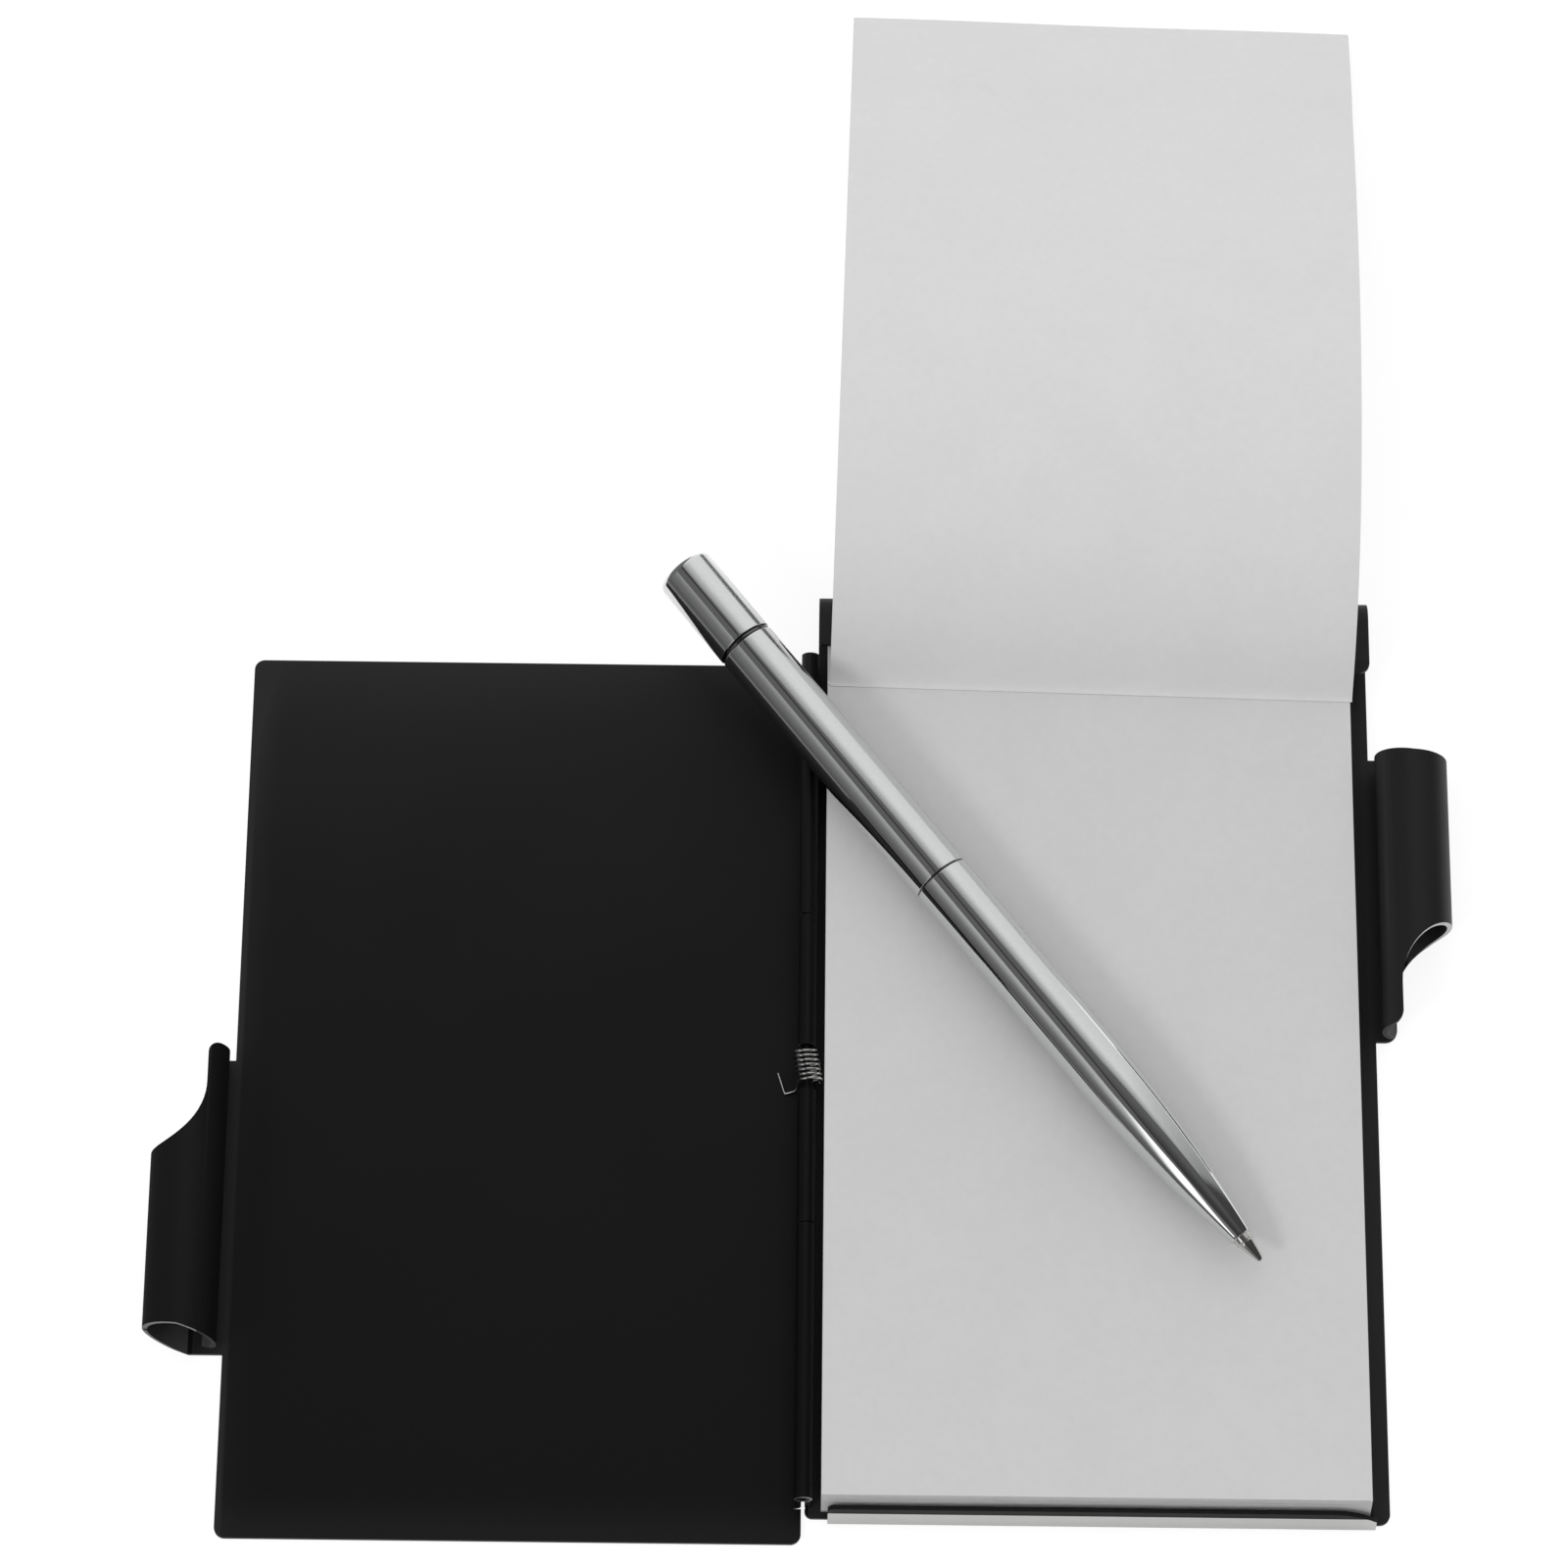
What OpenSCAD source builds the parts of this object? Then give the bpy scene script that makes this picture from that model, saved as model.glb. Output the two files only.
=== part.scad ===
// Pocket notepad case: two black sheet-metal leaves on a rolled hinge, shown open with its pad and pen.
// The case lies on its back: +Z is up, +Y runs towards the top of the page, +X towards the pad's free edge.
// The origin is the centre of the back leaf's underside.

/* [Case] */
// Width of one leaf, from its hinge edge to its free edge
leaf_w = 66.2; // [56:0.1:80]
// Length of the front cover
cover_len = 107.5; // [100:0.5:125]
// Distance from the case's middle line to the cover's top edge
cover_top = 48.7; // [47:0.1:52]
// Distance from the case's middle line to the back leaf's bottom edge
back_bottom = 55.8; // [54:0.1:62]
// Thickness of the closed case, which is also the outer diameter of the pen tubes
case_t = 8.5; // [8.1:0.1:10]
// Thickness of the sheet metal
sheet_t = 0.6; // [0.5:0.05:0.7]
// Radius of the leaves' corners
corner_r = 1.2; // [0.6:0.1:2]

/* [Hinge] */
// Gap between the two open leaves
hinge_gap = 0.4; // [0.3:0.05:0.6]
// Diameter of the hinge pin
pin_d = 0.8; // [0.6:0.05:1]
// Clearance between the pin and the knuckles all round
pin_clear = 0.04; // [0.02:0.01:0.08]
// Length of the upper outer knuckle, rolled from the back leaf
outer_knuckle = 33; // [28:0.5:36]
// Distance from the back leaf's bottom edge to the end of the lower outer knuckle
knuckle_foot = 1.2; // [1:0.1:2]
// Length of each inner knuckle, rolled from the cover
inner_knuckle = 16; // [12:0.5:18]
// Gap between neighbouring knuckles
knuckle_gap = 0.15; // [0.1:0.05:0.3]
// Width of the window between the inner knuckles, where the spring sits
spring_window = 5.5; // [4.5:0.1:8]
// Clearance between a leaf's wall and the other leaf's knuckles
wall_clear = 0.3; // [0.2:0.05:0.5]
// Inner radius of the bend between a leaf and its hinge wall
bend_r = 0.35; // [0.2:0.05:0.6]

/* [Torsion spring] */
// Diameter of the spring wire
wire_d = 0.4; // [0.3:0.05:0.45]
// Mean radius of the coil
coil_r = 1.5; // [1.4:0.05:1.7]
// Number of curls
coil_turns = 5; // [3:1:6]
// Distance from one curl to the next
coil_pitch = 0.86; // [0.82:0.01:1]
// Length of the foot that bears on each leaf
spring_foot = 3; // [2:0.1:5]

/* [Pad clamp] */
// Height of the folded clamp over the pad
clamp_h = 5.6; // [5:0.1:6.4]
// Length of the clamp from its bend line to its front edge
clamp_reach = 6.9; // [5:0.1:9]
// Width of the relief at the clamp's hinge end
clamp_relief_w = 2.2; // [1.5:0.1:4]
// Depth of that relief
clamp_relief = 2.8; // [1.5:0.1:4]

/* [Bottom lip] */
// Height of the lip that holds the pad's foot
lip_h = 3; // [2:0.1:4]
// How far the lip leans in over the pad, in degrees
lip_lean = 15; // [5:1:20]
// Distance from the hinge axis to the lip's hinge end
lip_start = 2.8; // [2.2:0.1:5]
// Distance from the lip's other end to the leaf's free edge
lip_end = 1.7; // [1.2:0.1:4]
// Radius of the long sweep at the lip's far end
lip_sweep_r = 8.6; // [6:0.1:10]
// How far the sweep lowers the lip at its far end
lip_sweep_drop = 1.6; // [1:0.1:2]

/* [Pen tubes] */
// Gap between a leaf's edge and its tube
tube_gap = 0.38; // [0.2:0.02:0.8]
// Distance from the case's middle line to the tube's outer end
tube_end = 35.6; // [33:0.1:40]
// How far the flat tab reaches past the tube's outer end
tab_extra = 1.8; // [0.8:0.1:3]
// Width over which the tab's end slants back to the tube's outer end
tab_slant = 5; // [3:0.1:7]
// How much further the roll's free side reaches than its outer side, on the back leaf
back_skew = 0.8; // [0:0.1:1.8]
// The same on the cover
cover_skew = 1.7; // [0:0.1:1.8]
// Distance from the middle line to where the curved cut meets the neck
cut_start = 7; // [5:0.1:9]
// Radius of the curved cut
cut_r = 8; // [7:0.1:10]
// Width of the neck beyond the leaf's edge
neck_w = 2.5; // [2:0.1:3.5]
// Distance from the middle line to the neck's end
neck_end = 2; // [1:0.1:4]
// Radius of the neck's free corner
neck_r = 1.4; // [0.6:0.1:2]
// Angle of the slit where the rolled sheet stops short of the tab
seam_angle = 40; // [30:1:60]

/* [Pad] */
// Width of the pad
pad_w = 62; // [54:0.5:63]
// Gap between the hinge axis and the pad's edge
pad_side = 2.05; // [1.8:0.05:3]
// Thickness of the card back
card_t = 0.5; // [0.4:0.1:0.8]
// Clearance above the stack, under the clamp
pad_clear = 0.05; // [0.02:0.01:0.2]
// Thickness of the glue strip that binds the sheets
glue_t = 0.3; // [0.2:0.05:0.5]
// How much shorter the top sheet lies than the card, because the sheets are fanned at the foot
pad_fan = 0.9; // [0.4:0.1:1.4]
// Gap at the pad's foot, in front of the lip
foot_gap = 0.75; // [0.5:0.05:1.5]

/* [Turned sheet] */
// Thickness of the sheet that is folded over the clamp
sheet_paper = 0.12; // [0.1:0.01:0.2]
// Distance from the clamp's front edge to the fold
fold_gap = 2.6; // [1.5:0.1:4]
// How far the far edge lands from the fold
page_span = 92.5; // [85:0.5:97]
// Height of the arch's first control point above the fold
page_rise = 15; // [12:0.1:18]
// Height of the arch's second control point above the fold
page_crown = 18.5; // [14:0.1:20]
// How far the sheet is turned in its plane, in degrees
page_skew = -1.5; // [-2:0.1:0]

/* [Pen] */
// Diameter of the pen
pen_d = 7; // [6:0.1:7.1]
// Length of the pen body without the writing point
pen_len = 104.4; // [100:0.1:112]
// Length of the end cap
cap_len = 12; // [10:0.5:16]
// Width of the ring set in the groove below the cap
ring_w = 0.6; // [0.4:0.1:1]
// Distance from the cap's end to the joint between the barrels
joint_at = 49.6; // [44:0.1:54]
// Width of the joint line between the barrels
joint_gap = 0.2; // [0.1:0.05:0.4]
// Length of the lower barrel's pointed part
nose_len = 25.2; // [18:0.1:30]
// Diameter of the nose at its mouth
mouth_d = 2.6; // [2.5:0.05:3]
// Wall of the barrels
barrel_t = 0.5; // [0.4:0.05:0.8]
// Diameter of the refill tube and of its point's shank
refill_d = 2.2; // [2:0.05:2.3]
// Length of the whole refill
refill_len = 67; // [60:0.5:68]
// How far the point stands out of the mouth
point_out = 3.5; // [2:0.1:4]
// Travel that draws the point in
refill_travel = 4.5; // [4:0.1:6]
// Diameter of the writing ball
ball_d = 0.7; // [0.5:0.1:1]
// Running clearance between the pen's sliding and turning pieces
pen_clear = 0.06; // [0.04:0.01:0.1]
// Distance along the hinge axis from the cover's top edge to where the pen crosses it
pen_cross = 10.6; // [8:0.1:14]
// Distance from the pen's capped end to that crossing
pen_over = 24.6; // [20:0.1:28]
// Angle of the pen from the hinge line, in degrees
pen_turn = 38.4; // [34:0.1:42]
// How far the pen dips towards its point, in degrees
pen_dip = 0.45; // [0.3:0.05:0.6]
// Gap between the pen and the knuckle it lies on
pen_rest = 0.1; // [0.05:0.05:0.3]

/* [Hidden] */
$fn = 64;
// Overlap that fuses two solids of one sheet
fuse = 0.02;
// Reach of a cutter past what it cuts
over = 1;

// Places on a leaf, measured from the hinge axis
leaf_edge = hinge_gap / 2 + leaf_w;
leaf_x0 = hinge_gap / 2 + bend_r + sheet_t;
hinge_x = -(hinge_gap / 2 + leaf_w / 2);
hinge_z = case_t / 2;
knuckle_r = pin_d / 2 + pin_clear + sheet_t;
cover_bottom = cover_top - cover_len;
// Lengths along the hinge, from its top end down
outer_top = cover_top - knuckle_gap;
inner_top = outer_top - outer_knuckle - knuckle_gap;
window_top = inner_top - inner_knuckle;
window_bottom = window_top - spring_window;
inner_bottom = window_bottom - inner_knuckle;
outer_bottom = knuckle_foot - back_bottom;
// Height of the wall beside the other leaf's knuckles, and beside the spring
low_wall = hinge_z - knuckle_r - wall_clear;
spring_wall = hinge_z - coil_r - wire_d / 2 - wall_clear;
// Route of the spring wire: from its foot on the back leaf, round the pin, and down to its foot on the cover
curls = coil_turns + 0.5;
coil_top = (window_top + window_bottom + curls * coil_pitch) / 2;
foot_z = sheet_t + wire_d / 2 + 0.05;
back_foot_x = hinge_gap / 2 + sheet_t + wire_d + 0.2;
coil_bottom = coil_top - curls * coil_pitch;
leg_bend = 1.5 * wire_d;
leg_out = coil_r + 1.25;
leg_splay = 0.65;
spring_route = concat(
    [[back_foot_x, coil_top + spring_foot, foot_z], [back_foot_x, coil_top + wire_d, foot_z],
        [back_foot_x, coil_top + leg_bend / 6, foot_z + leg_bend / 4],
        [back_foot_x, coil_top, foot_z + leg_bend], [coil_r, coil_top, hinge_z - leg_bend]],
    [for (i = [0 : 8 * curls]) let (a = i * 45)
        [coil_r * cos(a), coil_top - coil_pitch * i / 8, hinge_z + coil_r * sin(a)]],
    [[-coil_r - leg_bend / 6, coil_bottom, hinge_z - leg_bend],
        [leg_bend / 2 - leg_out, coil_bottom, foot_z + leg_bend],
        [leg_bend / 12 - leg_out, coil_bottom + leg_bend / 6, foot_z + leg_bend / 6],
        [-leg_out, coil_bottom + leg_bend * 2 / 3, foot_z],
        [-leg_out - leg_splay, coil_bottom + spring_foot, foot_z]]);
// Clamp
clamp_r = clamp_h / 2;
clamp_bend_y = back_bottom + sheet_t - clamp_r;
clamp_front = clamp_bend_y - clamp_reach;
clamp_x = hinge_gap / 2 + sheet_t + 0.2;
// Tubes
tube_r = case_t / 2;
tube_bore_r = tube_r - sheet_t;
tube_x = leaf_edge + tube_gap + tube_r;
neck_edge = leaf_edge + neck_w;
// Pad
pad_top = clamp_h - sheet_t - pad_clear;
block_top = pad_top - sheet_paper;
pad_head = clamp_bend_y - 0.3;
pad_foot = -back_bottom + foot_gap;
// Fold of the turned sheet
fold_y = clamp_front - fold_gap;
fold_x = pad_side + pad_w / 2;
// Control points of the turned sheet's arch, in (y, z) from the fold
arch_points = 24;
arch_ctrl = [[0, 0], [13, page_rise], [40, page_crown], [page_span, sheet_paper - pad_top + 0.1]];
// Pen
pen_r = pen_d / 2;
point_at = pen_len + point_out;
refill_start = point_at - refill_len;
bore_r = pen_r - barrel_t;
mouth_bore_r = refill_d / 2 + pen_clear;
nose_at = pen_len - nose_len;
pen_axis_z = hinge_z + knuckle_r + pen_r + pen_rest;
cap_round = 0.8;
// Clearance of the pieces that are pushed together, and depth of the two rings' grooves
push_fit = 0.02;
groove = 0.2;
// Spigot of the upper barrel, which carries the ring and the cap
spigot_start = 4;
spigot_root = cap_len + ring_w;
spigot_r = bore_r - push_fit;
spigot_bore_r = spigot_r - barrel_t;
// Joint between the barrels
thread_len = 10;
thread_relief = 2;
thread_end = joint_at + thread_len;
nose_guide = 14;
guide_at = pen_len - nose_guide;
nose_steps = 12;
// Twist mechanism: the lug slides in the slotted tube and is drawn along by the sleeve's helical slot
lug_r = 0.4;
lug_back = 2.9;
lug_at = refill_start - lug_back;
lug_head = 3;
holder_grip = 5;
slotted_tail = 8;
slotted_grip = 4;
helix_tail = 6;
helix_head = 3.4;
slot_clear = 0.15;
holder_wall = 0.79;
slotted_wall = 0.43;
tube_in_r = refill_d / 2 + holder_wall + pen_clear;
tube_out_r = tube_in_r + slotted_wall;
sleeve_in_r = tube_out_r + pen_clear;
sleeve_out_r = bore_r - push_fit;
holder_r = tube_in_r - pen_clear;
// Where the point's shank enters the refill tube
shank_len = 10;
shank_tail = 4;
shank_at = point_at - shank_len;

// Moves a shape from the hinge axis to its place on the part
module from_hinge() {
    translate([hinge_x, 0, 0]) children();
}

// A bar that runs along Y between two heights and two stations
module run(x0, x1, y0, y1, z0, z1) {
    translate([x0, y0, z0]) cube([x1 - x0, y1 - y0, z1 - z0]);
}

// A cylinder along Y
module rod(x, z, y0, y1, r) {
    translate([x, y1, z]) rotate([90, 0, 0]) cylinder(h = y1 - y0, r = r);
}

// Flat leaf with round corners at its free side; the hinge side is square
module flat_leaf(x0, y0, y1) {
    linear_extrude(sheet_t) union() {
        translate([x0, y0]) square([leaf_edge - corner_r - x0, y1 - y0]);
        translate([x0, y0 + corner_r]) square([leaf_edge - x0, y1 - y0 - 2 * corner_r]);
        for (y = [y0 + corner_r, y1 - corner_r]) translate([leaf_edge - corner_r, y]) circle(corner_r);
    }
}

// Cross-section of the hinge wall: it bends up from the leaf and stands to the given height
module wall_section(height) {
    outer_r = bend_r + sheet_t;
    x0 = hinge_gap / 2;
    difference() {
        union() {
            translate([x0 + outer_r, outer_r]) circle(outer_r);
            translate([x0, outer_r]) square([sheet_t, height - outer_r]);
            translate([x0 + outer_r, 0]) square([outer_r, sheet_t]);
        }
        translate([x0 + outer_r, outer_r]) circle(bend_r);
        translate([x0 + outer_r, sheet_t]) square([outer_r, outer_r * 2]);
        translate([x0 + sheet_t, outer_r]) square([outer_r * 2, outer_r * 2]);
    }
}

// A stretch of hinge wall between two stations
module wall(y0, y1, height) {
    translate([0, y1, 0]) rotate([90, 0, 0]) linear_extrude(y1 - y0) wall_section(height);
}

// A rolled knuckle on its stretch of wall, bored for the pin
module knuckle(y0, y1) {
    difference() {
        union() {
            wall(y0, y1, hinge_z);
            rod(0, hinge_z, y0, y1, knuckle_r);
        }
        rod(0, hinge_z, y0 - over, y1 + over, pin_d / 2 + pin_clear);
    }
}

// Plan of the tube, its neck and its tab, with the curved cut between them
module tube_plan() {
    difference() {
        translate([leaf_edge - over, neck_end])
            square([tube_x + tube_r + 2 * over - leaf_edge, tube_end + tab_extra - neck_end]);
        translate([neck_edge + cut_r, cut_start]) circle(cut_r);
        translate([neck_edge, neck_end - over]) square([2 * tube_r, cut_start - neck_end + over]);
        translate([neck_edge + cut_r, cut_start - over]) square([tube_r, cut_r]);
        translate([neck_edge - neck_r, neck_end]) difference() {
            square(neck_r);
            translate([0, neck_r]) circle(neck_r);
        }
        polygon([[tube_x + tube_r, tube_end], [tube_x + tube_r - tab_slant, tube_end + tab_extra],
            [tube_x + tube_r - tab_slant, tube_end + tab_extra + over],
            [tube_x + tube_r + 3 * over, tube_end + tab_extra + over],
            [tube_x + tube_r + 3 * over, tube_end]]);
    }
}

// Plan of what the roll loses at its outer end, where it was cut on the skew
module roll_end(skew) {
    far_end = tube_end + tab_extra + over;
    polygon([[tube_x + tube_r + over, tube_end], [tube_x + tube_r, tube_end], [tube_x, tube_end + skew / 4],
        [tube_x - tube_r, tube_end + skew], [tube_x - tube_r - over, tube_end + skew],
        [tube_x - tube_r - over, far_end], [tube_x + tube_r + over, far_end]]);
}

// Pen tube rolled up from a tab of the leaf, cut in plan to leave the neck
module pen_tube(skew) {
    slit = 270 - seam_angle;
    far = 2 * tube_r;
    length = tube_end + tab_extra;
    intersection() {
        translate([0, 0, -over]) linear_extrude(case_t + 2 * over) tube_plan();
        union() {
            run(leaf_edge - fuse, tube_x, neck_end, length, 0, sheet_t);
            difference() {
                rod(tube_x, tube_r, neck_end, length, tube_r);
                rod(tube_x, tube_r, neck_end - over, length + over, tube_bore_r);
                translate([tube_x, length + over, tube_r]) rotate([90, 0, 0])
                    linear_extrude(length + 2 * over)
                        polygon([[0, 0], far * [cos(slit), sin(slit)], [-far, -far], [0, -far]]);
                translate([0, 0, tube_r]) linear_extrude(tube_r + over) roll_end(skew);
                linear_extrude(tube_r + over) intersection() {
                    roll_end(skew);
                    translate([tube_x - 2 * tube_r, 0]) square([2 * tube_r, length + 2 * over]);
                }
            }
        }
    }
}

// Cross-section of the lip in (y, z), from the leaf's bottom edge: a tight bend, then the leaning plate
module lip_section(rise) {
    out = [-cos(lip_lean), sin(lip_lean)];
    up = [sin(lip_lean), cos(lip_lean)];
    translate([-back_bottom, sheet_t]) union() {
        polygon([[0, 0], rise * up, rise * up + sheet_t * out, sheet_t * out]);
        intersection() {
            circle(sheet_t);
            polygon([[0, 0], 2 * sheet_t * out, [-2 * sheet_t, -2 * sheet_t], [0, -2 * sheet_t]]);
        }
    }
}

// What the lip's two ends lose, in the plane of its plate: a small corner and a long sweep
module lip_end_cuts(length, rise) {
    end_r = 0.7;
    sweep = sqrt(lip_sweep_r * lip_sweep_r - pow(lip_sweep_r - lip_sweep_drop, 2));
    translate([-over, rise - end_r]) difference() {
        square([end_r + over, end_r + over]);
        translate([end_r + over, 0]) circle(end_r);
    }
    translate([length - sweep, rise - lip_sweep_drop - over]) difference() {
        square([sweep + over, lip_sweep_drop + 2 * over]);
        translate([0, lip_sweep_drop + over - lip_sweep_r]) circle(lip_sweep_r);
    }
}

// Lip at the foot of the back leaf, leaning in over the pad's edge
module bottom_lip() {
    length = leaf_edge - lip_end - lip_start;
    rise = lip_h / cos(lip_lean);
    difference() {
        translate([lip_start, 0, 0]) rotate([90, 0, 90]) linear_extrude(length) lip_section(rise);
        translate([lip_start, -back_bottom, sheet_t]) rotate([90 - lip_lean, 0, 0])
            translate([0, 0, -over]) linear_extrude(sheet_t + 2 * over) lip_end_cuts(length, rise);
    }
}

// Cross-section of the clamp in (y, z): the sheet runs on from the leaf and turns back in a half circle
module clamp_section() {
    difference() {
        union() {
            translate([cover_top - fuse, 0]) square([clamp_bend_y - cover_top + fuse, sheet_t]);
            translate([clamp_front, clamp_h - sheet_t]) square([clamp_reach, sheet_t]);
            translate([clamp_bend_y, clamp_r]) difference() {
                circle(clamp_r);
                translate([-clamp_h, -clamp_h]) square([clamp_h, 2 * clamp_h]);
            }
        }
        translate([clamp_bend_y, clamp_r]) circle(clamp_r - sheet_t);
    }
}

// Clamp folded back over the pad at the head of the back leaf
module pad_clamp() {
    length = leaf_edge - clamp_x;
    difference() {
        translate([clamp_x, 0, 0]) rotate([90, 0, 90]) linear_extrude(length) clamp_section();
        run(clamp_x - over, clamp_x + clamp_relief_w, clamp_front - over, clamp_front + clamp_relief,
            clamp_r, clamp_h + over);
        translate([leaf_edge - corner_r, clamp_front, clamp_r]) linear_extrude(clamp_h) difference() {
            translate([0, -over]) square([corner_r + over, corner_r + over]);
            translate([0, corner_r]) circle(corner_r);
        }
    }
}

// Corner of a leaf at its hinge side, past the last knuckle, with a slit between the two
module hinge_corner(x1, y0, r) {
    x0 = hinge_gap / 2;
    y1 = outer_bottom - knuckle_gap;
    linear_extrude(sheet_t) union() {
        translate([x0 + r, y0]) square([x1 - x0 - r, y1 - y0]);
        translate([x0, y0 + r]) square([x1 - x0, y1 - y0 - r]);
        translate([x0 + r, y0 + r]) circle(r);
    }
}

module back_shell() {
    color("#2a2a2c") from_hinge() union() {
        flat_leaf(leaf_x0, -back_bottom, cover_top);
        run(leaf_edge - 2 * corner_r, leaf_edge, cover_top - 2 * corner_r, cover_top + fuse, 0, sheet_t);
        hinge_corner(leaf_x0 + corner_r, -back_bottom, 0.7 * knuckle_foot);
        pad_clamp();
        bottom_lip();
        pen_tube(back_skew);
        knuckle(outer_top - outer_knuckle, outer_top);
        wall(inner_top - inner_knuckle - knuckle_gap, inner_top + knuckle_gap, low_wall);
        wall(window_bottom - knuckle_gap, window_top + knuckle_gap, spring_wall);
        wall(inner_bottom - knuckle_gap, window_bottom, low_wall);
        knuckle(outer_bottom, inner_bottom - knuckle_gap);
    }
}

module front_cover() {
    color("#2a2a2c") from_hinge() union() {
        mirror([1, 0, 0]) {
            flat_leaf(leaf_x0, cover_bottom, cover_top);
            hinge_corner(leaf_x0 + corner_r, cover_bottom, corner_r);
            wall(outer_top - outer_knuckle - knuckle_gap, outer_top, low_wall);
            knuckle(window_top, inner_top);
            wall(window_bottom, window_top, spring_wall);
            knuckle(inner_bottom, window_bottom);
            wall(outer_bottom, inner_bottom, low_wall);
        }
        rotate([0, 0, 180]) pen_tube(cover_skew);
    }
}

module hinge_pin() {
    color("#b8babd") from_hinge()
        rod(0, hinge_z, outer_bottom + knuckle_gap, outer_top - knuckle_gap, pin_d / 2);
}

function unit(v) = v / norm(v);
function route_dir(p, i) = unit(p[min(i + 1, len(p) - 1)] - p[max(i - 1, 0)]);
function square_to(v, d) = unit(v - (v * d) * d);
// Sideways direction at each ring, carried along the route so that the tube doesn't twist
function side_dirs(p) = [for (i = 0, n = square_to([1, 0, 0], route_dir(p, 0)); i < len(p);
    i = i + 1, n = i < len(p) ? square_to(n, route_dir(p, i)) : n) n];
// A tube swept along a route, with one ring of points at each of the route's points
module swept_tube(p, r, sides) {
    n = side_dirs(p);
    rings = [for (i = [0 : len(p) - 1]) let (d = route_dir(p, i))
        for (k = [0 : sides - 1]) let (a = k * 360 / sides)
            p[i] + r * (cos(a) * n[i] + sin(a) * cross(d, n[i]))];
    walls = [for (i = [0 : len(p) - 2], k = [0 : sides - 1])
        let (a = i * sides + k, b = i * sides + (k + 1) % sides)
            each [[a, a + sides, b], [b, a + sides, b + sides]]];
    last = (len(p) - 1) * sides;
    ends = [for (k = [1 : sides - 2]) each [[0, k, k + 1], [last, last + k + 1, last + k]]];
    polyhedron(rings, concat(walls, ends));
}

// Least gap between curls, measured between ring centres that lie half a curl or more apart
curl_gap = min([for (i = [0 : len(spring_route) - 1], j = [0 : len(spring_route) - 1])
    if (j - i > 4) norm(spring_route[i] - spring_route[j])]) - wire_d;

module torsion_spring() {
    echo(least_gap_of_the_spring_to_itself_mm = curl_gap);
    color("#c9cbce") from_hinge() swept_tube(spring_route, wire_d / 2, 6);
}

module pad_card() {
    color("#9a948a") from_hinge()
        run(pad_side, pad_side + pad_w, pad_foot, pad_head, sheet_t, sheet_t + card_t);
}

// Stack of sheets, fanned at its foot
module paper_block() {
    z0 = sheet_t + card_t;
    color("#ececec") from_hinge() translate([pad_side, 0, 0]) rotate([90, 0, 90]) linear_extrude(pad_w)
        polygon([[pad_foot, z0], [pad_head, z0], [pad_head, block_top], [pad_foot + pad_fan, block_top]]);
}

module pad_glue() {
    edge = 0.1;
    color("#d8d4c4") from_hinge()
        run(pad_side, pad_side + pad_w, pad_head, pad_head + glue_t, sheet_t + edge, block_top - edge);
}

// Point of the arch at a share of its parameter
function arch(t) = pow(1 - t, 3) * arch_ctrl[0] + 3 * t * pow(1 - t, 2) * arch_ctrl[1]
    + 3 * t * t * (1 - t) * arch_ctrl[2] + pow(t, 3) * arch_ctrl[3];
function arch_dir(t) = unit(arch(min(t + 0.01, 1)) - arch(max(t - 0.01, 0)));
function arch_side(t, d) = arch(t) + d * [-arch_dir(t)[1], arch_dir(t)[0]];

module turned_sheet() {
    half = sheet_paper / 2;
    tuck = 1.5;
    margin = fold_y + tuck / 2;
    slant = pad_w / 2 * sin(page_skew);
    steps = [for (i = [0 : arch_points]) i / arch_points];
    color("#f2f2f2") from_hinge() {
        translate([fold_x, fold_y, block_top + half]) rotate([0, 0, page_skew]) translate([-pad_w / 2, 0, 0])
            rotate([90, 0, 90]) linear_extrude(pad_w) union() {
                polygon(concat([for (t = steps) arch_side(t, half)],
                    [for (i = [arch_points : -1 : 0]) arch_side(steps[i], -half)]));
                translate([-half, -half]) square([tuck, sheet_paper]);
            }
        translate([pad_side, 0, block_top]) linear_extrude(sheet_paper)
            polygon([[0, margin - slant], [pad_w, margin + slant], [pad_w, pad_head], [0, pad_head]]);
    }
}

// Puts a piece of the pen, drawn along +Z from its capped end, where the pen lies on the pad
module on_pen() {
    translate([hinge_x, cover_top - pen_cross, pen_axis_z]) rotate([0, 0, pen_turn])
        rotate([90 + pen_dip, 0, 0]) translate([0, 0, -pen_over]) children();
}

// A tube of the pen between two stations
module pen_tube_piece(z0, z1, r_out, r_in) {
    translate([0, 0, z0]) difference() {
        cylinder(h = z1 - z0, r = r_out);
        translate([0, 0, -over]) cylinder(h = z1 - z0 + 2 * over, r = r_in);
    }
}

module pen_cap() {
    color("#d9dbde") on_pen() rotate_extrude() difference() {
        union() {
            translate([0, cap_round]) square([pen_r, cap_len - cap_round]);
            square([pen_r - cap_round, cap_len]);
            intersection() {
                translate([pen_r - cap_round, cap_round]) circle(cap_round);
                square(pen_r * 2);
            }
        }
        translate([-over, 1.5 * cap_round]) square([bore_r + over, cap_len]);
    }
}

module pen_cap_ring() {
    color("#55585c") on_pen() pen_tube_piece(cap_len, spigot_root, pen_r - groove, bore_r);
}

module pen_upper_barrel() {
    color("#d9dbde") on_pen() union() {
        pen_tube_piece(spigot_root, joint_at - joint_gap, pen_r, bore_r);
        pen_tube_piece(spigot_start, spigot_root + barrel_t, spigot_r, spigot_bore_r);
        pen_tube_piece(spigot_root, spigot_root + barrel_t, pen_r - fuse, spigot_bore_r);
    }
}

// Outer radius of the nose at a share of its length: a parabola that meets the barrel smoothly
function nose_r(u) = pen_r - (pen_r - mouth_d / 2) * u * u;

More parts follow.
